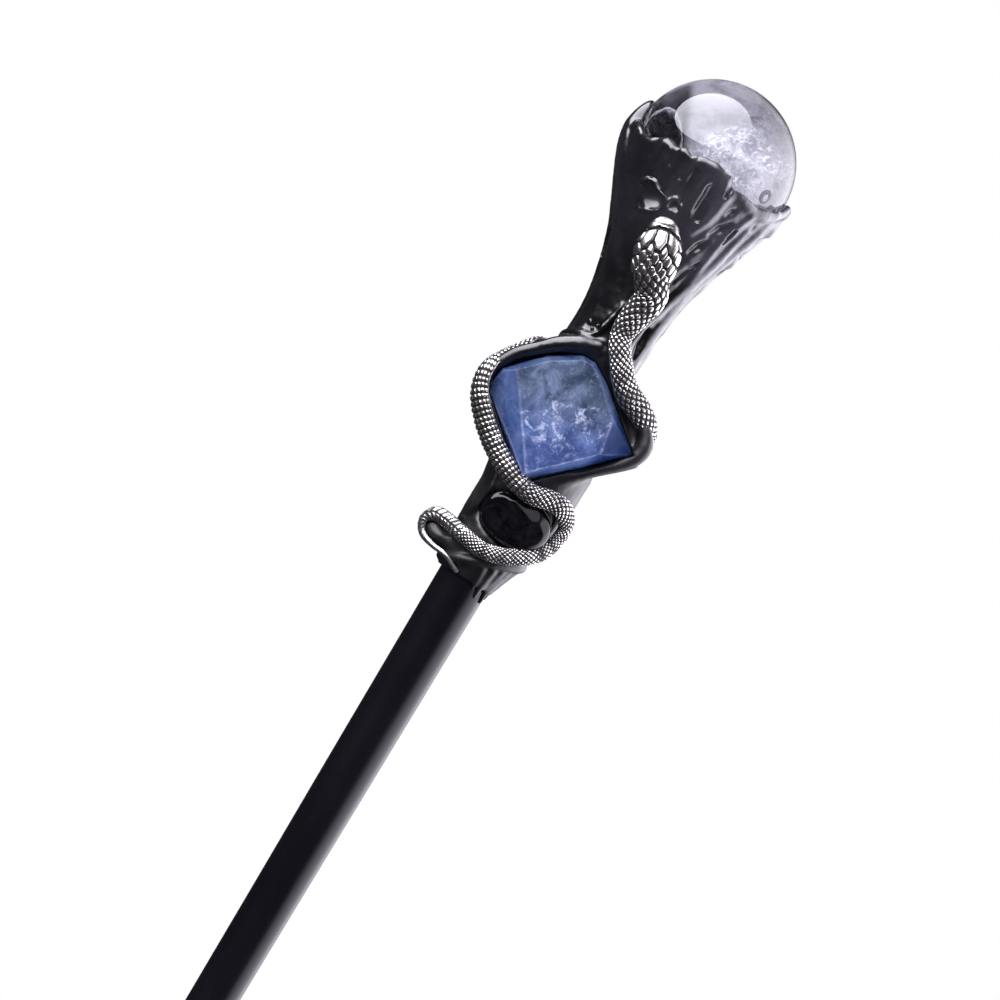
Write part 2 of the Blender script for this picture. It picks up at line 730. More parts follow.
def leaf(x, y, z):
    """The distance to the tall leaf."""
    from_ball = np.sqrt(x * x + y * y + (z - BALL[2]) ** 2)
    reach = np.clip((LEAF_TOP - z) / 13.0, 0, 1)
    outside = BALL_R + 0.8 + 1.9 * np.clip(reach / 0.5, 0, 1) ** 0.7
    shell = np.maximum(from_ball - outside, (BALL_R - 0.3) - from_ball)
    half = 6.6 * np.sqrt(reach) + 0.02
    side = (np.abs(y + 0.6) - half) * 0.8
    side = np.maximum(side, z - LEAF_TOP)
    side = np.maximum(side, x + 6)
    return soft_max(shell, side, 0.8)


clay.add(leaf, (-22, -12, BALL[2] - 14), (-8, 12, BALL[2] + 6), 0.9)
leaf_line = []
for h in (-9, -5, -1.5, 1.2, 3.0):
    r = math.sqrt((BALL_R + 2.9) ** 2 - h * h)
    leaf_line.append((-r, -0.6 - 0.25 * (h < -3), BALL[2] + h))
clay.strand(leaf_line, [0.4, 0.75, 0.85, 0.65, 0.4], 0.6, carve=True)
print("leaf up to", round(LEAF_TOP, 1), "mm")

# %% [markdown]
# The torn edge of the cup is thick and soft, as clay is that was pulled over with a thumb, so a
# rope of it runs along the rim. Folds hang down from it in front: they are shallow channels with
# wide blends, and the clay between them stands out as lobes.

# %% Rounded lip of the cup
lip_line, lip_radii = [], []
for azimuth in range(-172, 84, 3):
    a = math.radians(azimuth)
    h = float(rim_height(math.cos(a), math.sin(a))) - BALL[2] - 0.25
    r = math.sqrt((BALL_R + 0.75) ** 2 - h * h)
    lip_line.append((r * math.cos(a), r * math.sin(a), BALL[2] + h))
    lip_radii.append(0.95 + 0.2 * math.sin(azimuth * 0.13) + 0.15 * math.sin(azimuth * 0.31))
clay.strand(lip_line, lip_radii, 1.3)

# Each fold's sideways place, top, length and the tool's radius
FOLDS = [(-7.8, 330.0, 3.4, 0.55), (-4.0, 330.0, 5.0, 0.6), (5.9, 329.8, 3.6, 0.5)]
FOLDS += [(-12.3, 329.2, 3.0, 0.5), (-10.0, 328.0, 7.0, 0.85), (-5.6, 328.0, 8.5, 1.0)]
FOLDS += [(-1.6, 327.5, 6.5, 0.95), (2.6, 326.0, 6.5, 0.9)]
for x, z, down, radius in FOLDS:
    groove = [on_face(x, z + shift_z, 0.7), on_face(x * 0.99, z - down / 2 + shift_z, 0.35)]
    groove.append(on_face(x * 0.97, z - down + shift_z, 0.2))
    clay.strand(groove, [radius, 0.8 * radius, 0.3 * radius], 1.0, carve=True)
print("lip of", len(lip_line), "points, folds", len(FOLDS))

# %% [markdown]
# Two dimples with thin raised lips sit beside the snake's snout, as if bubbles had burst there.
# Each is an egg pressed in and a wavy ring of thin rope laid round it.

# %% Dimples with raised lips
FACE_DOWN = 7
for x, z, radius in ((-7.5, 319.0, 3.5), (-2.3, 319.6, 1.6)):
    middle = on_face(x, z + shift_z)
    out = middle - np.array([0, 0, middle[2] + FACE_DOWN])
    out = out / np.linalg.norm(out)
    side = np.cross(out, (0, 0, 1))
    side = side / np.linalg.norm(side)
    up = np.cross(side, out)
    ring = []
    for k in range(17):
        a = 2 * math.pi * k / 16
        wave = radius * (1 + 0.17 * math.sin(3 * a + x) + 0.09 * math.sin(5 * a))
        ring.append(middle + side * wave * math.cos(a) + up * wave * 0.92 * math.sin(a) + out * 0.1)
    clay.lump(middle + out * 0.2, (radius * 0.86, radius * 0.45, radius * 0.80), 0.4, carve=True)
    clay.strand(ring, [0.3 + 0.16 * math.sin(2 * math.pi * k / 16 + 1.2) for k in range(17)], 0.45)
    print("dimple at", middle.round(1), "radius", radius)

# %% [markdown]
# A hollow with a few beads of clay lies where the fold over the gem meets the neck.

# %% Bubbles by the fold
clay.lump(on_face(-5.0, 290.4 + shift_z, 1.0), (2.7, 1.7, 1.7), 0.5, carve=True)
BEADS = [(-6.6, 290.3, 0.5), (-5.7, 289.3, 0.4), (-4.9, 291.0, 0.55)]
BEADS += [(-3.9, 289.9, 0.45), (-3.2, 290.9, 0.35)]
for x, z, radius in BEADS:
    clay.lump(on_face(x, z + shift_z, -0.35), (radius,) * 3, 0.15)
print("beads", len(BEADS))

# %% [markdown]
# ### Grip and foot
# The black stone is bedded in the grip with a thin raised edge on its left. The clay ends in a
# slanted collar, and a torn skirt of it runs down over the shaft on the right.

# %% Stone seat, collar and skirt
stone_low, stone_high = box_mm("black_stone")
STONE = (stone_low + stone_high) / 2
STONE_SIZE = (stone_high - stone_low) / 2
left_edge = [(-5.6, 256.0), (-4.9, 251.5), (-5.2, 247.0), (-6.9, 242.9), (-7.2, 240.2)]
clay.strand(
    curve_points([on_face(x, z + shift_z, 0.1) for x, z in left_edge]),
    curve_values([0.4, 0.7, 0.7, 0.6, 0.3]),
    0.7,
)
clay.lump(STONE, STONE_SIZE * (1.06, 1.0, 1.04), 0.9, carve=True)
collar = []
for azimuth in range(-150, 211, 18):
    share = 0.5 + 0.5 * math.cos(math.radians(azimuth - 8))
    collar.append(on_trunk(FOOT_Z + 1.0 + 6.2 * share, azimuth, 0.2 - 0.35 * share**6))
collar_radii = [0.4, 0.7] + [0.85] * (len(collar) - 4) + [0.7, 0.4]
clay.strand(curve_points(collar, 3), curve_values(collar_radii, 3), 1.1)
# Each torn finger's azimuth, top and bottom over the clay's end, and radius
FINGERS = [(-72, 3.0, -1.6, 0.75), (-56, 4.0, -2.9, 0.8), (-41, 4.5, -0.8, 0.8)]
FINGERS += [(-30, 5.0, -3.3, 0.85), (-14, 5.5, -2.2, 0.8), (2, 5.5, -0.6, 0.7)]
for azimuth, top, low, radius in FINGERS:
    a = math.radians(azimuth)
    path = []
    for k in range(5):
        z = FOOT_Z + top + (low - top) * k / 4
        r = SHAFT_R + 0.15 + max(0.0, z - FOOT_Z) * 0.42
        path.append((r * math.cos(a + 0.03 * k), r * math.sin(a + 0.03 * k), z))
    clay.strand(path, [radius, radius, radius, 0.7 * radius, 0.4 * radius], 0.8)
clay.lump((-8.0, -2.6, FOOT_Z + 4.2), (3.3, 1.7, 1.8), 1.6)
clay.lump((-9.9, -2.5, FOOT_Z + 5.0), (3.1, 0.9, 2.3), 0.8)
print("collar points", len(collar), "fingers", len(FINGERS))

# %% [markdown]
# The ball was pushed into the soft clay, so the cup is its negative, with a hair of room.

# %% Seat of the ball


def ball_seat(x, y, z):
    """The ball with a hair of room round it."""
    return np.sqrt(x * x + y * y + (z - BALL[2]) ** 2) - (BALL_R + 0.03)


clay.cut(ball_seat, BALL - BALL_R - 1, BALL + BALL_R + 1, 0.15)


# %% [markdown]
# The gem's outline from the front is given as corners, in shares of its half width and half
# height. Each edge carries a steep face that leans in towards the broken table, and another that
# leans in to the back. The same faces give the stone and the room for it.

# %% Seats of the gem and the shaft


def gem_edges():
    """The gem's outline: each edge's direction in the front plane and its reach."""
    shape = [(1, 0.12), (0.27, 0.80), (0, 0.99), (-0.2, 0.98), (-0.56, 0.72), (-0.97, 0.24)]
    shape += [(-1, 0), (-0.95, -0.14), (-0.05, -1), (0.05, -0.93)]
    points = [(GEM_X + GEM_W * x, GEM_Z + GEM_H * z) for x, z in shape]
    edges = []
    for (x0, z0), (x1, z1) in zip(points, points[1:] + points[:1]):
        nx, nz = -(z1 - z0), x1 - x0
        long = math.hypot(nx, nz)
        nx, nz = nx / long, nz / long
        if nx * (x0 - GEM_X) + nz * (z0 - GEM_Z) < 0:
            nx, nz = -nx, -nz
        edges.append((nx, nz, nx * x0 + nz * z0))
    return edges


EDGES = gem_edges()
# How far each edge's front face leans in by the time it reaches the table
BEVELS = [1.5, 1.2, 1.2, 1.4, 1.3, 1.2, 1.0, 1.0, 1.5, 1.8]
FACES = [(nx, nz, reach, bevel) for (nx, nz, reach), bevel in zip(EDGES, BEVELS)]
for nx, nz, reach, bevel in ((0.979, 0.203, 16.7, 6.8), (-0.811, -0.585, 14.1, 6.3)):
    FACES.append((nx, nz, reach + nx * GEM_X + nz * GEM_Z, bevel))
TABLE_Y = gem_low[1]
BACK_Y = gem_high[1]


def gem_faces(x, y, z):
    """How far a point lies outside the worst and the second worst face of the front."""
    deep = GIRDLE_Y - TABLE_Y
    first = TABLE_Y + 0.15 - y + 0 * x + 0 * z
    second = np.full(first.shape, -1e9)
    for nx, nz, reach, bevel in FACES:
        long = math.hypot(deep, bevel)
        flat = nx * x + nz * z - reach
        front = (deep * flat + bevel * (GIRDLE_Y - y)) / long
        back = 0.81 * flat + 0.59 * (y - GIRDLE_Y)
        here = np.maximum(front, back)
        second = np.maximum(second, np.minimum(first, here))
        first = np.maximum(first, here)
    return first, second


def rough_gem(x, y, z, grow=0.0):
    """Cleaved octahedron: steep faces to the girdle, a broken table in front."""
    away = gem_faces(x, y, z)[0]
    away = np.maximum(away, y - BACK_Y)
    return away - grow


def gem_room(x, y, z):
    """The gem's seat, open to the front."""
    front = None
    for nx, nz, reach in EDGES:
        flat = nx * x + nz * z - reach
        front = flat if front is None else np.maximum(front, flat)
    window = np.maximum(front, y - GIRDLE_Y)
    return np.minimum(rough_gem(x, y, z, 0.05), window)


clay.cut(gem_room, (-20, -22, GEM_Z - 19), (20, BACK_Y + 1.5, GEM_Z + 19), 0.35)


def shaft_room(x, y, z):
    """The shaft's socket, a little tight so that no gap shows."""
    return np.maximum(np.sqrt(x * x + y * y) - (SHAFT_R - 0.25), z - (FOOT_Z + 5))


clay.cut(shaft_room, (-8, -8, FOOT_Z - 5), (8, 8, FOOT_Z + 6), 0.1)
print("seats cut, gem outline edges", len(EDGES))

# %% [markdown]
# ## Glossy black clay
# Oven-hardened clay under clear varnish: nearly black, with broad soft ripples from fingers. The
# varnish is thin on the grip and fuller on the neck and the cup, and the cup's right side has a
# paler satin sheen.

# %% Clay finish
black = Finish("varnished black clay")
ripple = black.grain(220, 3, 0.5, stretch=(1, 1, 0.5))
creases = black.grain(520, 4, 0.6, stretch=(1, 1, 0.35), warp=0.6)
pits = black.cells(900).step(0.0, 0.22)
patchy = black.grain(140, 2, 0.5, shift=(0.3, 0.1, 0.2))
body_colour = black.blend(patchy.step(0.35, 0.7), (0.0032, 0.0030, 0.0046), (0.0075, 0.0068, 0.0100))
rise = black.axis("Z").step((CUP_Z + 1) * MM, (CUP_Z + 13) * MM)
aside = black.axis("X").step(-0.014, 0.012)
satin = black.blend(aside, (0.014, 0.013, 0.019), (0.062, 0.059, 0.076))
body_colour = black.blend(rise * patchy.step(0.3, 0.7, 0.55, 1.0), body_colour, satin)
relief = ripple * 0.8 + creases * 0.12 + pits * 0.02
varnish = black.axis("Z").step((GEM_Z - 4) * MM, (NECK_Z + 6) * MM, 0.12, 0.62)
black_material = black.done(
    black.surface(
        Base_Color=body_colour,
        Roughness=patchy.step(0.35, 0.75, 0.24, 0.40) + (0.62 - varnish) * 0.3,
        Normal=black.bump(relief, 0.0006, 0.17),
        Coat_Weight=varnish,
        Coat_Roughness=0.14,
        Specular_IOR_Level=0.5,
    )
)

# %% [markdown]
# The finished block becomes two meshes, parted in the fold above the gem where no seam shows. A
# slow wobble of a few hundredths takes the last stiffness out of it, except in the ball's seat.

# %% Draw the clay off
points, quads = clay.draw()
wobble = np.array([noise.noise(Vector(p) * 0.9) for p in points])
towards = points - np.array([0, 0, 1]) * points[:, 2:3]
towards /= np.linalg.norm(towards, axis=1)[:, None] + 1e-9
near_ball = np.abs(np.linalg.norm(points - BALL, axis=1) - BALL_R) < 0.8
points = points + towards * (wobble * 0.05 * ~near_ball)[:, None]
middle = points[quads].mean(axis=1)[:, 2]
SPLIT = NECK_Z + 5.0
LOWER_NODES = ["grip_body", "collar_lip", "drip_skirt", "stone_rim"]
LOWER_NODES += ["gem_setting", "setting_ridge", "setting_lug", "tail_fill"]
UPPER_NODES = ["neck", "neck_strand_right", "neck_strand_back", "neck_strand_left", "ball_cup"]
UPPER_NODES += ["cup_drape_right", "cup_drape_back_right", "cup_drape_back"]
UPPER_NODES += ["cup_drape_back_left", "cup_drape_left"]
UPPER_NODES += ["front_petals", "left_petal", "right_claw", "back_petal"]
for name, keep, gone in (
    ("clay_grip_and_setting", middle < SPLIT, LOWER_NODES),
    ("clay_neck_and_cup", middle >= SPLIT, UPPER_NODES),
):
    used, remap = np.unique(quads[keep], return_inverse=True)
    faces = remap.reshape(-1, 4)[:, ::-1]
    add_piece(name, points[used], faces, black_material, replaces=gone)

# %% [markdown]
# ## The quartz ball
# A polished sphere of natural quartz: clear, with white veils of tiny fractures inside. The
# sphere is glass-like and truly refracts, so that the black clay behind it darkens its left.
# The veils are thin curved sheets within it, each with a ragged patchy outline.

# %% Quartz finishes
quartz = Finish("polished quartz")
haze = quartz.grain(120, 5, 0.62, warp=0.5) * 0.7 + quartz.grain(520, 6, 0.7, warp=1.2) * 0.3
quartz_material = quartz.done(
    quartz.surface(
        Base_Color=quartz.blend(haze.step(0.42, 0.62), (0.50, 0.49, 0.55), (0.22, 0.22, 0.26)),
        Roughness=haze.step(0.5, 0.85, 0.0, 0.04),
        IOR=1.52,
        Transmission_Weight=1.0,
        Normal=quartz.bump(quartz.grain(90, 1, 0.4), 0.00002, 0.3),
    )
)
veil = Finish("white fracture veil")
flecks = veil.grain(520, 7, 0.78, warp=1.4)
threads = veil.cells(900, "DISTANCE_TO_EDGE").step(0.0, 0.12, 1.0, 0.0)
inside = veil.carried("inside")
cover = (flecks.step(0.43, 0.62) + threads * flecks.step(0.40, 0.56) * 0.8).math("MINIMUM", 1.0)
cover = cover * inside.step(0.0, 0.6)
veil_shader = veil.surface(
    Base_Color=veil.blend(flecks, (0.80, 0.81, 0.86), (1.0, 1.0, 1.0)),
    Roughness=0.7,
    Alpha=cover * 0.8,
    Emission_Color=(0.93, 0.93, 1.0),
    Emission_Strength=0.05,
)
veil_material = veil.done(veil_shader)

# %% [markdown]
# The sphere could be a primitive, but a hand-polished one is off by about a hundredth of a
# millimetre, and that bends its reflections a little.

# %% Ball
rows, columns = 96, 160
sphere = []
for direction in directions(rows, columns):
    r = BALL_R * (1 + 0.0006 * noise.noise(direction * 2.2))
    sphere.append(BALL + r * np.array(direction))
add_piece(
    "polished_quartz_ball",
    sphere,
    inside_out(grid_faces(rows, columns)),
    quartz_material,
    replaces=["quartz_ball"],
)

# %% [markdown]
# Five sheets of fractures stand in the ball, all of them right of its middle. Each is a sagging
# patch whose points keep how far they lie from its edge, so that it fades out there.

# %% Veils inside the ball
VEIL_DEPTH = 1.2


def veil_sheet(name, centre, wide, tall, turn, tilt, sag, seed):
    """A wavy sheet of fractures, cut to stay well inside the ball."""
    n = 60
    spin = Matrix.Rotation(math.radians(turn), 3, "Z") @ Matrix.Rotation(math.radians(tilt), 3, "X")
    cells = []
    for i in range(n):
        for j in range(n):
            u, v = 2 * j / (n - 1) - 1, 2 * i / (n - 1) - 1
            rag = 1 + 0.18 * noise.noise(Vector((math.atan2(v, u) * 1.3, seed, 0)))
            px = u * wide * rag * math.sqrt(1 - v * v / 2)
            pz = v * tall * rag * math.sqrt(1 - u * u / 2)
            py = sag * (u * u + 0.6 * v * v) + 0.9 * noise.noise(Vector((u * 1.8, v * 1.8, seed)))
            p = np.array(centre) + np.array(spin @ Vector((px, py, pz)))
            far = np.linalg.norm(p)
            if far > BALL_R - VEIL_DEPTH:
                p *= (BALL_R - VEIL_DEPTH) / far
            cells.append(BALL + p)
    piece = add_piece(name, cells, grid_faces(n, n, closed=False), veil_material)
    margin = [1 - abs(2 * k / (n - 1) - 1) for k in range(n)]
    carry(piece, "inside", [min(across, up) for up in margin for across in margin])


veil_sheet("ball_veil_front", (3.6, -9.0, 0.6), 6.2, 4.4, 18, 12, 1.4, 1.0)
veil_sheet("ball_veil_low", (4.6, -6.5, 1.2), 7.0, 4.2, -8, -24, 1.8, 6.0)
veil_sheet("ball_veil_middle", (3.0, 1.0, 2.5), 9.0, 7.0, -25, -30, 2.2, 4.0)
veil_sheet("ball_veil_top", (4.5, -2.0, 9.0), 7.0, 4.5, 35, 25, 1.4, 9.0)
veil_sheet("ball_veil_right", (9.5, 2.5, 0.5), 4.5, 8.0, 60, 8, 1.2, 13.0)

# %% [markdown]
# One air bubble sits low on the right, just under the surface. Only its dark rim shows, so a
# small ring stands in for it.

# %% Bubble in the ball
dark_rim = Finish("bubble rim")
rim_grain = dark_rim.grain(900, 3, 0.6)
dark_rim_material = dark_rim.done(
    dark_rim.surface(
        Base_Color=dark_rim.blend(rim_grain, (0.01, 0.01, 0.014), (0.08, 0.08, 0.10)),
        Roughness=0.4,
        Alpha=rim_grain.step(0.3, 0.5, 0.6, 1.0),
    )
)
bubble_way = Vector((0.74, -0.61, -0.08)).normalized()
bubble_side = bubble_way.cross(Vector((0, 0, 1))).normalized()
bubble_up = bubble_side.cross(bubble_way)
BUBBLE_R, BUBBLE_DEPTH = 1.15, 1.3
ROUND, THROUGH = 28, 10
bubble_ring, bubble_faces = [], []
for i in range(ROUND):
    a = 2 * math.pi * i / ROUND
    spoke = bubble_side * math.cos(a) + bubble_up * math.sin(a)
    thick = 0.42 + 0.14 * math.sin(a + 0.8)
    here, after = i * THROUGH, (i + 1) % ROUND * THROUGH
    for j in range(THROUGH):
        b = 2 * math.pi * j / THROUGH
        inward = bubble_way * (BALL_R - BUBBLE_DEPTH + thick * math.sin(b))
        bubble_ring.append(BALL + np.array(inward + spoke * (BUBBLE_R + thick * math.cos(b))))
        k = (j + 1) % THROUGH
        bubble_faces.append((here + j, after + j, after + k, here + k))
add_piece("ball_bubble_rim", bubble_ring, bubble_faces, dark_rim_material)

# %% [markdown]
# ## The raw blue crystal
# A fluorite octahedron as it comes from the cleaver's hammer: steep flat faces round a broken
# table, with stepped cleavage and chipped edges. It is drawn from a fine field of distances, so
# that its steps and chips are real relief.

# %% Gem shape
gem_step = 0.22 if FINE else 0.32
stone_block = Clay(gem_low - 1.2, gem_high + 1.2, gem_step)
part, gx, gy, gz = stone_block.window(gem_low - 1.2, gem_high + 1.2)
away = rough_gem(gx, gy, gz)
steps = np.sin(0.42 * gx + 0.95 * gz + 1.4 * np.sin(0.35 * gx - 0.2 * gz))
steps = 0.22 * np.tanh(5 * steps) + 0.10 * np.tanh(6 * np.sin(1.9 * gx - 1.1 * gz + 0.8))
away = away + 0.22 * (steps + 0.25) * (gy < GIRDLE_Y - 1.5)
away = away + 0.03 * np.sin(2.3 * gx + 1.7 * gy) * np.sin(2.1 * gz - 1.3 * gy)
stone_block.field[part] = away
CHIPS = 40
chips = random.Random(11)
for _ in range(CHIPS):
    nx, nz, reach = EDGES[chips.randrange(len(EDGES))]
    along = chips.uniform(-13, 13)
    deep = chips.choice([0.0, 0.0, 0.55, 1.0])
    inset = 1.7 * deep
    x = GEM_X + (reach - nx * GEM_X - nz * GEM_Z - inset) * nx - nz * along
    z = GEM_Z + (reach - nx * GEM_X - nz * GEM_Z - inset) * nz + nx * along
    y = GIRDLE_Y + (TABLE_Y - GIRDLE_Y) * deep
    size = chips.uniform(0.35, 0.95)
    sizes = (size * chips.uniform(0.8, 1.8), size, size * chips.uniform(0.8, 1.8))
    chip = (x + nx * 0.7 * size, y - 0.5 * size * deep, z + nz * 0.7 * size)
    stone_block.lump(chip, sizes, 0.12, carve=True)
gem_points, gem_quads = stone_block.draw()
print("gem voxels", gem_step, "mm, chips", CHIPS)

# %% [markdown]
# The stone is a deeper blue in its lower half and greyer in its upper half. White frost of tiny
# breaks lies on the table in a band and in threads, most in the middle and along worn edges. The
# steep side faces are cleaner, and those on the right are darker. A little light gets under the
# skin.

# %% Gem finish
blue = Finish("raw blue crystal")
up, across = blue.axis("Z"), blue.axis("X")
edge_wear = blue.carried("edge")
level = (up + across * -0.25).step((GEM_Z - 5) * MM, (GEM_Z + 6) * MM)
mottle = blue.grain(170, 5, 0.62, warp=0.8)
cloudy = blue.grain(75, 3, 0.55, shift=(0.02, 0.0, 0.03), warp=0.6)
veins = blue.grain(420, 7, 0.76, warp=0.7)
band = (up - across * 0.45 - (GEM_Z - 0.5) * MM).math("ABSOLUTE").step(0.0015, 0.0080, 1.0, 0.30)
threads = blue.cells(260, "DISTANCE_TO_EDGE", stretch=(1, 1, 0.7)).step(0.0, 0.03, 1.0, 0.0)
fine_threads = blue.cells(520, "DISTANCE_TO_EDGE", stretch=(0.6, 1, 1.2)).step(0.0, 0.05, 1.0, 0.0)
flakes = blue.grain(1500, 3, 0.7).step(0.58, 0.74)
frost = veins.step(0.52, 0.68) * band + threads * veins.step(0.46, 0.6) * 0.4 * band
frost = frost + fine_threads * mottle.step(0.54, 0.66) * 0.25 + flakes * 0.28
table = blue.carried("table").step(0.2, 0.8)
frost = frost * (table * 0.8 + 0.2)
from_middle = (up - GEM_Z * MM) * (up - GEM_Z * MM) + (across - GEM_X * MM) * (across - GEM_X * MM)
frost = frost + veins.step(0.47, 0.62) * from_middle.step(0.0, 0.000036, 0.8, 0.0)
worn = edge_wear.step(0.45, 1.0) * veins.step(0.36, 0.56) * (0.45 - level * 0.3)
frost = (frost + worn).math("MINIMUM", 1.0)
low_dark, low_pale = (0.040, 0.070, 0.215), (0.120, 0.185, 0.43)
high_dark, high_pale = (0.036, 0.054, 0.098), (0.185, 0.245, 0.400)
dark_stone = blue.blend(level, low_dark, high_dark)
stone_colour = blue.blend(mottle.step(0.33, 0.68), dark_stone, blue.blend(level, low_pale, high_pale))
stone_colour = blue.blend(cloudy.step(0.38, 0.66) * 0.75, stone_colour, dark_stone)
face_colour = blue.blend(mottle.step(0.35, 0.7), (0.050, 0.095, 0.270), (0.095, 0.160, 0.380))
shade_side = across.step((GEM_X + 8) * MM, (GEM_X + 12) * MM)
face_colour = blue.blend(shade_side, face_colour, (0.022, 0.050, 0.170))
stone_colour = blue.blend(table * 0.75 + 0.25, face_colour, stone_colour)
stone_colour = blue.blend(frost * 0.85, stone_colour, (0.56, 0.62, 0.84))
stone_colour = blue.blend(shade_side * (1.0 - table) * 0.85, stone_colour, (0.008, 0.026, 0.105))
gem_relief = blue.grain(650, 4, 0.6, warp=0.5) * 0.5 + mottle * 0.6
blue_material = blue.done(
    blue.surface(
        Base_Color=stone_colour,
        Roughness=(mottle * 0.25 + frost * 0.3 + 0.16).math("MINIMUM", 0.7),
        IOR=1.434,
        Specular_IOR_Level=0.06,
        Subsurface_Weight=0.25,
        Subsurface_Radius=(0.6, 0.8, 1.4),
        Subsurface_Scale=0.0015,
        Normal=blue.bump(gem_relief, 0.00035, 0.45),
    )
)
gem_piece = add_piece(
    "raw_blue_crystal",
    gem_points,
    gem_quads[:, ::-1],
    blue_material,
    replaces=["fluorite_octahedron"],
)
worst, next_worst = gem_faces(*gem_points.T)
carry(gem_piece, "edge", np.clip(1 - (worst - next_worst) / 0.8, 0, 1))
carry(gem_piece, "table", np.clip(1 - (worst - (TABLE_Y + 0.15 - gem_points[:, 1])) / 0.3, 0, 1))

# %% [markdown]
# ## The polished black stone
# A tumbled piece of volcanic glass. Its face is not quite round: tumbling left a few broad
# facets that meet in soft edges, and these give it several small highlights.

# %% Black stone
glassy = Finish("polished black stone")
swirl = glassy.grain(180, 4, 0.6, warp=2.0)
glassy_material = glassy.done(
    glassy.surface(
        Base_Color=glassy.blend(swirl.step(0.4, 0.7), (0.002, 0.002, 0.003), (0.008, 0.008, 0.011)),
        Roughness=swirl.step(0.5, 0.8, 0.03, 0.09),
        Normal=glassy.bump(glassy.grain(110, 2, 0.5), 0.0003, 0.25),
        IOR=1.5,
        Specular_IOR_Level=0.30,
    )
)
# Each facet's direction and how near the middle it lies
FACETS = [((-0.10, -1, -0.10), 0.76), ((-0.55, -0.8, 0.10), 0.90), ((0.50, -0.85, -0.12), 0.89)]
FACETS += [((0.05, -0.75, -0.62), 0.90), ((-0.6, -0.7, -0.4), 0.92)]
FACETS += [((0.15, -0.9, 0.45), 0.90), ((0.75, -0.55, 0.3), 0.97)]
FACETS = [(Vector(way).normalized(), near) for way, near in FACETS]
rows, columns = 90, 130
pebble = []
for d in directions(rows, columns):
    flat = min(near / max(d.dot(way), 0.01) for way, near in FACETS)
    r = min(1.0, flat) * (1 + 0.004 * noise.noise(d * 3.5))
    pebble.append(STONE + np.array(d) * r * STONE_SIZE * (1.09, 1.05, 1.08))
add_piece(
    "polished_black_stone",
    pebble,
    inside_out(grid_faces(rows, columns)),
    glassy_material,
    replaces=["black_stone"],
)

# %% [markdown]
# ## The silver snake
# A white-metal casting, blackened and then rubbed bright. Its back is a lattice of raised
# rhombic scales, its sides end in a smooth bright edge, and its head carries smooth plates.
# The body is a tube on a smooth line; the scales are relief in the mesh, and each point keeps
# how high it lies, so that the finish can leave the dark in the gaps.

# %% Snake's line
HEAD_BACK = on_trunk(CUP_Z + 3.2, -86, 2.2)
HEAD_TIP = on_trunk(CUP_Z + 16.3, -101, -1.3)
w, h = GEM_W, GEM_H
OVER = GIRDLE_Y - 2.6
COIL_Z = FOOT_Z + 7.0
snake_way = [
    (HEAD_BACK + (HEAD_TIP - HEAD_BACK) * 0.35, 3.6),
    (HEAD_BACK, 3.7),
    (on_trunk(CUP_Z - 1.0, -73, 1.7), 3.5),
    (on_trunk(NECK_Z + 10.4, -76, 1.6), 3.1),
    (on_trunk(NECK_Z + 5.4, -78, 1.7), 2.35),
    ((GEM_X + 0.23 * w, OVER - 1.4, NECK_Z + 1.4), 2.3),
    ((GEM_X + 0.50 * w, OVER - 0.5, GEM_Z + 0.86 * h), 2.75),
    ((GEM_X + 0.82 * w, OVER + 1.4, GEM_Z + 0.68 * h), 2.75),
    ((GEM_X + 1.00 * w, -4.2, GEM_Z + 0.53 * h), 2.5),
    ((GEM_X + 1.00 * w, 2.4, GEM_Z + 0.42 * h), 2.4),
    (on_trunk(GEM_Z + 0.46 * h, 42, 2.6), 2.4),
    (on_trunk(GEM_Z + 0.56 * h, 72, 1.7), 2.4),
    (on_trunk(GEM_Z + 0.68 * h, 105, 1.6), 2.4),
    (on_trunk(GEM_Z + 0.76 * h, 138, 2.2), 2.4),
    ((GEM_X - 0.75 * w, 1.2, GEM_Z + 0.75 * h), 2.4),
    ((GEM_X - 0.96 * w, -3.2, GEM_Z + 0.46 * h), 2.4),
    ((GEM_X - 1.10 * w, OVER + 1.4, GEM_Z + 0.15 * h), 2.4),
    ((GEM_X - 1.06 * w, OVER - 0.2, GEM_Z - 0.17 * h), 2.4),
    ((GEM_X - 0.85 * w, OVER - 1.0, GEM_Z - 0.48 * h), 2.35),
    ((GEM_X - 0.52 * w, OVER - 1.4, GEM_Z - 0.78 * h), 2.25),
    (on_trunk(SETTING_Z + 1.7, -100, 1.7), 2.15),
    (on_trunk(SETTING_Z + 0.5, -76, 1.6), 2.15),
    (on_trunk(SETTING_Z + 1.4, -55, 1.7), 2.15),
    (on_trunk(SETTING_Z + 1.0, -38, 1.9), 2.1),
    (on_trunk(SETTING_Z - 1.4, -20, 1.8), 2.0),
    (on_trunk(SETTING_Z - 5.0, -16, 1.8), 1.9),
    (on_trunk(SETTING_Z - 8.6, -26, 2.0), 1.85),
    (on_trunk(COIL_Z + 2.8, -42, 2.2), 1.8),
    (on_trunk(COIL_Z + 0.4, -66, 1.7), 1.75),
    (on_trunk(COIL_Z - 0.6, -92, 1.5), 1.7),
    (on_trunk(COIL_Z + 0.2, -122, 1.5), 1.65),
    ((-9.1, -4.8, COIL_Z + 0.9), 1.65),
    ((-12.0, -3.4, COIL_Z + 0.9), 1.6),
    ((-13.6, -2.8, COIL_Z - 1.3), 1.25),
    ((-12.4, -3.4, COIL_Z - 3.9), 0.8),
    ((-9.3, -5.2, COIL_Z - 5.0), 0.6),
    ((-6.0, -6.8, COIL_Z - 5.4), 0.55),
    ((-2.0, -6.6, COIL_Z - 7.2), 0.42),
]
dense = np.array(curve_points([p for p, _ in snake_way], 24))
sizes = np.array(curve_values([s for _, s in snake_way], 24))
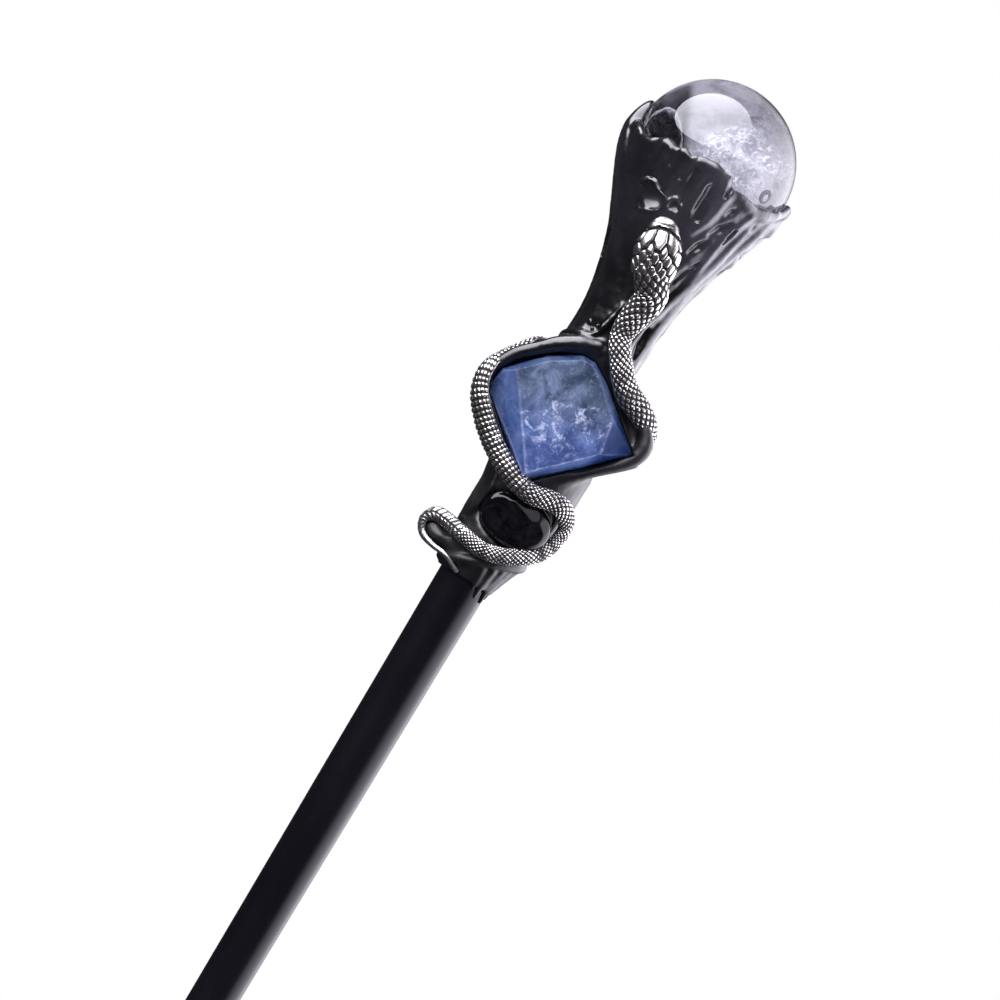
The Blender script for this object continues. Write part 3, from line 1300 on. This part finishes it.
gaps = np.linalg.norm(np.diff(dense, axis=0), axis=1)
run = np.concatenate([[0], np.cumsum(gaps)])
PITCH = 0.155 if FINE else 0.3
count = int(run[-1] / PITCH)
at = np.linspace(0, run[-1], count)
line = np.stack([np.interp(at, run, dense[:, i]) for i in range(3)], axis=1)
for _ in range(12):
    line[1:-1] = line[1:-1] * 0.5 + (line[:-2] + line[2:]) * 0.25
half = np.interp(at, run, sizes)
print("snake length", round(float(run[-1]), 1), "rings", count)

# %% [markdown]
# One metal serves the whole snake. High points are bright and smooth, low ones hold black patina
# and are rough, and both wander with a little tarnish.

# %% Snake's silver
silver = Finish("antiqued silver")
height = silver.carried("height")
tarnish = silver.grain(500, 4, 0.6)
scratch = silver.grain(2600, 3, 0.6, stretch=(1, 1, 0.4))
bright = (height + (tarnish - 0.5) * 0.9).step(0.50, 0.95)
metal_colour = silver.blend(bright, (0.014, 0.012, 0.012), (0.66, 0.63, 0.62))
silver_material = silver.done(
    silver.surface(
        Base_Color=metal_colour,
        Metallic=bright.step(0.0, 0.5, 0.4, 1.0),
        Roughness=bright.step(0.0, 1.0, 0.55, 0.20) + scratch * 0.08,
        Normal=silver.bump(scratch * 0.5 + tarnish * 0.5, 0.00006, 0.6),
    )
)

# %% [markdown]
# Each ring of the body stands across the line, flattened against the wand, with its back turned
# outwards. The outward direction is smoothed along the line, so that the body turns slowly. Most
# points of a ring go to the back, where the scales are.

# %% Rings of the snake
top_turns, belly_turns = (78, 14) if FINE else (44, 8)
FLAT = 0.72
BACK_REACH = math.radians(104)
tangent = np.gradient(line, axis=0)
tangent /= np.linalg.norm(tangent, axis=1)[:, None]
climb = np.clip((line[:, 2] - STONE[2]) / (GEM_Z - STONE[2]), 0, 1)
out = np.stack([(0.35 + 0.65 * climb) * line[:, 0], line[:, 1], 0 * climb], axis=1)
out -= tangent * (out * tangent).sum(axis=1)[:, None]
out /= np.linalg.norm(out, axis=1)[:, None]
for _ in range(30):
    out[1:-1] = out[1:-1] * 0.5 + (out[:-2] + out[2:]) * 0.25
    out -= tangent * (out * tangent).sum(axis=1)[:, None]
    out /= np.linalg.norm(out, axis=1)[:, None]
side = np.cross(tangent, out)
angle = np.concatenate(
    [
        np.linspace(-BACK_REACH, BACK_REACH, top_turns, endpoint=False),
        np.linspace(BACK_REACH, 2 * math.pi - BACK_REACH, belly_turns, endpoint=False),
    ]
)
AROUND = len(angle)
print("points in a ring", AROUND)

# %% [markdown]
# Three patterns of scales take turns along the body: rhombs on most of it, rows across it on the
# arc in its middle, and chevrons near the tail's end. They are set out in distance along the
# body, counted in its half width, and in the angle round it.

# %% Scales
ARC_START, ARC_END = 0.47, 0.66
TAIL_START, TAIL_END = 0.86, 0.97
SCALES_ROUND, SCALES_ALONG = 22, 3.3
S, A = np.meshgrid(np.cumsum(PITCH / np.maximum(half, 1.2)), angle, indexing="ij")
u = A / (2 * math.pi) * SCALES_ROUND
v = S * SCALES_ALONG
rhombs = np.abs(np.cos(math.pi * (u + v) / 2) * np.cos(math.pi * (u - v) / 2))
rhombs = np.clip(rhombs * 1.2, 0, 1) ** 0.75
rows_across = np.abs(np.sin(math.pi * S * 2.05)) ** 0.7 * (0.5 + 0.6 * np.abs(np.cos(math.pi * u * 0.6)))
chevrons = 0.15 + 0.8 * np.abs(np.sin(math.pi * (S * 1.3 + 0.5 * np.abs(A)))) ** 0.7
chevrons *= 1 - 0.8 * np.exp(-((A / 0.10) ** 2))
casting = np.array([noise.noise(Vector(p) * 0.8) for p in line[::4]])
casting = np.interp(np.arange(count), np.arange(count)[::4], casting)[:, None]
share = np.linspace(0, 1, count)[:, None]


def stretch_of(start, end, soft=0.015):
    """Where along the body a kind of scale is used, as a weight."""
    return np.clip((share - start) / soft, 0, 1) * np.clip((end - share) / soft, 0, 1)


arc = stretch_of(ARC_START, ARC_END)
tail_end = stretch_of(TAIL_START, TAIL_END)
scale_height = rhombs * (1 - arc) * (1 - tail_end) + rows_across * arc + chevrons * tail_end
belly = np.cos(A) < -0.18
edge = np.exp(-(((np.cos(A) + 0.12) / 0.09) ** 2))
wear = 1 + 0.45 * casting + 0.14 * np.sin(7.3 * u + 3.1 * v) * np.sin(1.9 * v)
relief = np.where(belly, 0.35, np.clip(scale_height * wear, 0, 1.05))
relief = np.maximum(relief * (1 - 0.6 * edge), edge * 0.95)
tail = np.clip((half - 0.75) / 0.5, 0, 1)[:, None]
relief = relief * tail + 0.75 * (1 - tail)
print("arc starts", line[int(count * ARC_START)].round(1), "ends", line[int(count * ARC_END)].round(1))
print("tail scales start", line[int(count * TAIL_START)].round(1))
print("tail scales end", line[int(count * TAIL_END)].round(1))

# %% [markdown]
# The relief pushes each point of the rings out or in. The body is made in two lengths that share
# a ring where they meet.

# %% Snake's body
depth = 0.15 * np.minimum(half, 2.4)[:, None]
spread_w = half[:, None] + depth * (relief - 0.7)
spread_t = FLAT * half[:, None] + depth * (relief - 0.7)
ring = (
    line[:, None, :]
    + side[:, None, :] * (spread_w * np.sin(A))[:, :, None]
    + out[:, None, :] * (spread_t * np.cos(A))[:, :, None]
)
cut = count // 2
for name, first, last in (("snake_body_upper", 0, cut + 1), ("snake_body_lower", cut, count)):
    body_faces = grid_faces(last - first, AROUND)
    body_faces.append(tuple(range(AROUND))[::-1])
    body_faces.append(tuple((last - first - 1) * AROUND + k for k in range(AROUND)))
    body_piece = add_piece(
        name,
        ring[first:last].reshape(-1, 3),
        inside_out(body_faces),
        silver_material,
        replaces=["snake"] if first == 0 else [],
    )
    carry(body_piece, "height", relief[first:last].reshape(-1))

# %% [markdown]
# ### Head
# Seen from above the head is a rounded arrow, widest at the jaws. A smooth bright bow runs
# round the snout; behind it lie one six-sided plate in the middle, a long plate on each side,
# and rows of smaller plates that shrink into the body's scales.

# %% Snake's head
head_out = HEAD_TIP - HEAD_BACK
along = head_out / np.linalg.norm(head_out)
middle = (HEAD_TIP + HEAD_BACK) / 2
radial = np.array([middle[0], middle[1], 0])
radial -= along * (radial @ along)
radial /= np.linalg.norm(radial)
across_head = np.cross(along, radial)
HEAD_LONG = 12.9
# Each plate's place across and along the head, and its size
PLATES = [(0, 0.63, 1.6), (-0.6, 0.60, 1.3), (0.6, 0.60, 1.3), (-0.30, 0.42, 0.85)]
PLATES += [(0.30, 0.43, 0.85), (0.0, 0.32, 0.8), (-0.52, 0.30, 0.75), (0.52, 0.31, 0.75)]
PLATES += [(-0.84, 0.40, 0.65), (0.86, 0.42, 0.65), (-0.26, 0.20, 0.65), (0.26, 0.21, 0.65)]
PLATES += [(0.0, 0.10, 0.6), (-0.5, 0.10, 0.6), (0.5, 0.11, 0.6), (-0.75, 0.18, 0.6)]
PLATES += [(0.76, 0.19, 0.6), (-0.26, -0.01, 0.55), (0.26, 0.0, 0.55), (-0.72, 0.0, 0.55)]
PLATES += [(0.72, 0.01, 0.55), (0.0, -0.1, 0.5), (-0.5, -0.1, 0.5), (0.5, -0.1, 0.5)]
PLATES += [(-0.92, 0.1, 0.5), (0.94, 0.12, 0.5), (0.95, 0.60, 0.6), (-0.95, 0.58, 0.6)]
JAWS = 0.36


def head_width(t):
    """Half the head's width at a share of its length."""
    if t > JAWS:
        share = math.sqrt(max(0, 1 - ((t - JAWS) / (1 - JAWS)) ** 2))
    else:
        share = 0.84 + 0.16 * math.sin(t / JAWS * math.pi / 2)
    cheeks = 1 - 0.16 * math.exp(-(((t - 0.74) / 0.16) ** 2))
    return 4.85 * share * cheeks


def head_thickness(t):
    """Half the head's thickness at a share of its length."""
    if t < 0.4:
        return 2.2 + 0.7 * math.sin(t / 0.4 * math.pi / 2)
    if t < 0.86:
        return 2.9 - 1.5 * ((t - 0.4) / 0.46) ** 1.15
    return 1.4 * math.sqrt(max(0.0, 1 - ((t - 0.86) / 0.14) ** 2))


rows, columns = (150, 150) if FINE else (80, 80)
head_points, head_height = [], []
for i in range(rows):
    t = i / (rows - 1)
    wide, thick = head_width(t), head_thickness(t)
    for j in range(columns):
        a = 2 * math.pi * j / columns
        px, py = wide * math.sin(a), thick * math.cos(a)
        u, v = math.sin(a) * (1 if math.cos(a) > 0 else 1.2), t
        ranked = sorted(
            (math.hypot(u - cx, (v - cy) * 1.35) / size, k)
            for k, (cx, cy, size) in enumerate(PLATES)
        )
        gap = ranked[1][0] - ranked[0][0]
        plate = min(1.0, max(0.0, (gap - 0.015) / 0.10)) ** 0.7
        dome = max(0.0, 1 - (ranked[0][0] / 0.34) ** 2) * PLATES[ranked[0][1]][2]
        bow = math.exp(-(((t - 0.88 + 0.10 * u * u) / 0.045) ** 2))
        if t > 0.84 - 0.10 * u * u:
            plate, dome = 1.0, 0.5
        plate = max(plate, bow)
        ridge_dark = math.exp(-(((t - 0.80 + 0.10 * u * u) / 0.028) ** 2))
        plate *= 1 - 0.9 * ridge_dark
        if math.cos(a) < -0.1:
            plate = 0.5
        push = 0.42 * (plate - 0.75) + 0.34 * dome * plate
        scale = 1 + push / max(1.2, math.hypot(px, py))
        p = HEAD_BACK - along * 0.9 + along * HEAD_LONG * t
        head_points.append(p + across_head * px * scale + radial * py * scale)
        head_height.append(plate)
head_faces = grid_faces(rows, columns)
head_faces.append(tuple(range(columns))[::-1])
head_faces = inside_out(head_faces)
head_piece = add_piece("snake_head", head_points, head_faces, silver_material)
carry(head_piece, "height", head_height)

# %% [markdown]
# ## Hidden pieces
# The steel core rod and the three beds of epoxy stay as the CAD has them, inside the clay. They
# get their own finishes, because a cut-away view would show them.

# %% Inner finishes
steel = Finish("drawn steel rod")
drawn = steel.grain(1200, 3, 0.6, stretch=(1, 1, 0.02))
steel_material = steel.done(
    steel.surface(
        Base_Color=steel.blend(drawn, (0.42, 0.43, 0.45), (0.62, 0.63, 0.65)),
        Metallic=1.0,
        Roughness=drawn.step(0.2, 0.8, 0.25, 0.42),
        Normal=steel.bump(drawn, 0.00002, 0.5),
    )
)
epoxy = Finish("set epoxy")
bubbles = epoxy.cells(1400).step(0.05, 0.2)
epoxy_material = epoxy.done(
    epoxy.surface(
        Base_Color=epoxy.blend(epoxy.grain(300, 3), (0.62, 0.60, 0.53), (0.80, 0.78, 0.72)),
        Roughness=bubbles.step(0, 1, 0.35, 0.15),
        Normal=epoxy.bump(bubbles, 0.0001, 0.4),
    )
)
for node, material in (
    ("core_rod", steel_material),
    ("stone_glue_bed", epoxy_material),
    ("gem_glue_bed", epoxy_material),
    ("ball_glue_pad", epoxy_material),
):
    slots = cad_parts[node].data.materials
    slots.clear()
    slots.append(material)
    print(node, "gets", material.name)

# %% [markdown]
# ## Stand, light and camera
# The wand stands on a pale disc in front of white. The disc doesn't show in shiny things.

# %% Floor
pale = Finish("pale floor")
dust = pale.grain(60, 4, 0.6)
pale_material = pale.done(
    pale.surface(
        Base_Color=pale.blend(dust, (0.80, 0.80, 0.80), (0.86, 0.86, 0.86)),
        Roughness=dust.step(0.3, 0.7, 0.55, 0.7),
        Normal=pale.bump(dust, 0.0001, 0.3),
    )
)
disc = bpy.data.meshes.new("floor")
FLOOR_R, FLOOR_Z, FLOOR_SIDES = 0.32, -0.0002, 96
turns = [2 * math.pi * k / FLOOR_SIDES for k in range(FLOOR_SIDES)]
disc_edge = [(FLOOR_R * math.cos(a), FLOOR_R * math.sin(a), FLOOR_Z) for a in turns]
disc.from_pydata(disc_edge, [], [tuple(range(FLOOR_SIDES))])
disc.materials.append(pale_material)
floor = bpy.data.objects.new("floor", disc)
bpy.context.scene.collection.objects.link(floor)
floor.visible_glossy = False
print("floor radius", FLOOR_R)

# %% [markdown]
# The room is bright white to the camera. To anything shiny it is dark, with one bright wall low on
# the right. Through the ball it shows white behind, dimmer on the left and dark on the right. The
# camera leans, so right and above are the directions that it sees as right and up.

# %% World
LEAN = math.radians(30.85)
right = Vector((math.cos(LEAN), 0, math.sin(LEAN)))
above = Vector((-math.sin(LEAN), 0, math.cos(LEAN)))
world = bpy.data.worlds.new("room")
bpy.context.scene.world = world
world.use_nodes = True
room = world.node_tree
room.nodes.clear()
place = Shade(room, room.nodes.new("ShaderNodeTexCoord").outputs["Generated"])


def towards_side(direction):
    """How far a ray of the room runs towards a direction, from -1 to 1."""
    node = room.nodes.new("ShaderNodeVectorMath")
    node.operation = "DOT_PRODUCT"
    room.links.new(place.socket, node.inputs[0])
    node.inputs[1].default_value = direction
    return Shade(room, node.outputs["Value"])


low_right = right * 0.85 - above * 0.35 + Vector((0, 0.3, 0))
glow = towards_side(tuple(low_right)).step(0.40, 1.0, 0.045, 5.0)
behind = towards_side((0.0, 1.0, 0.0)).step(-0.35, 0.6, 0.6, 1.0)
behind = behind * towards_side(tuple(right)).step(0.20, 0.30, 1.0, 0.03)
behind = behind * towards_side(tuple(right)).step(-0.85, -0.35, 0.5, 1.0)
path_node = room.nodes.new("ShaderNodeLightPath")
seen = Shade(room, path_node.outputs["Is Camera Ray"])
through = Shade(room, path_node.outputs["Is Transmission Ray"])
diffuse = Shade(room, path_node.outputs["Is Diffuse Ray"])
other = (1.0 - seen) * (1.0 - through)
strength = seen + through * (1.0 - seen) * behind + other * (diffuse * 0.75 + (1.0 - diffuse) * glow)
back = room.nodes.new("ShaderNodeBackground")
wall = room.nodes.new("ShaderNodeMix")
wall.data_type = "RGBA"
plug(room, wall.inputs[0], seen)
plug(room, wall.inputs[6], (0.92, 0.90, 1.0))
plug(room, wall.inputs[7], (1.0, 1.0, 1.0))
room.links.new(wall.outputs[2], back.inputs["Color"])
plug(room, back.inputs["Strength"], strength)
room_out = room.nodes.new("ShaderNodeOutputWorld")
room.links.new(back.outputs[0], room_out.inputs["Surface"])
print("room nodes", len(room.nodes))

# %% [markdown]
# One very large oval softbox hangs over the wand and towards the viewer, and only its reflection
# counts. Its cloth is brighter on one side. A soft fill lights dull surfaces and isn't reflected.

# %% Softboxes
LIT_POINT = Vector((0, 0, 0.28))


def softbox(name, direction, distance, size, power, tint=(1, 1, 1), shape="RECTANGLE"):
    """An area light in a direction given as right, up and towards the viewer."""
    data = bpy.data.lights.new(name, "AREA")
    data.shape, data.energy, data.color = shape, power, tint
    data.size, data.size_y = size
    lamp = bpy.data.objects.new(name, data)
    way = right * direction[0] + above * direction[1] + Vector((0, -1, 0)) * direction[2]
    lamp.location = LIT_POINT + way.normalized() * distance
    lamp.rotation_euler = way.to_track_quat("Z", "Y").to_euler()
    bpy.context.scene.collection.objects.link(lamp)
    print(name, size, "m,", power, "W")
    return lamp


cool = (0.92, 0.93, 1.0)
overhead = softbox("overhead softbox", (0.05, 0.88, 0.47), 0.9, (1.95, 1.5), 66, cool, "ELLIPSE")
overhead.visible_diffuse = False
overhead.data.use_nodes = True
cloth = overhead.data.node_tree
across_cloth = cloth.nodes.new("ShaderNodeSeparateXYZ")
cloth.links.new(cloth.nodes.new("ShaderNodeNewGeometry").outputs["Parametric"], across_cloth.inputs[0])
fade = Shade(cloth, across_cloth.outputs["X"]).step(0.45, 1.0, 1.0, 0.12)
plug(cloth, cloth.nodes["Emission"].inputs["Strength"], fade)
fill = softbox("soft fill", (-0.2, 0.7, 0.6), 1.0, (0.9, 0.9), 7)
fill.visible_glossy = False

# %% [markdown]
# The camera looks straight at the front of the head from not far away, turned so that the wand
# leans to the right.

# %% Camera
SENSOR = 36
DISTANCE = 0.9
VIEW_WIDTH = 0.2083
camera_data = bpy.data.cameras.new("camera")
camera_data.sensor_width = SENSOR
camera_data.lens = SENSOR * DISTANCE / VIEW_WIDTH
camera_data.clip_start = 0.01
camera = bpy.data.objects.new("camera", camera_data)
axes = Matrix((right, above, Vector((0, -1, 0)))).transposed()
camera.matrix_world = axes.to_4x4()
camera.location = (-0.002, -DISTANCE, 0.24965)
bpy.context.scene.collection.objects.link(camera)
bpy.context.scene.camera = camera
bpy.context.scene.view_settings.view_transform = "Standard"
print("camera lens", round(camera_data.lens, 1), "mm")
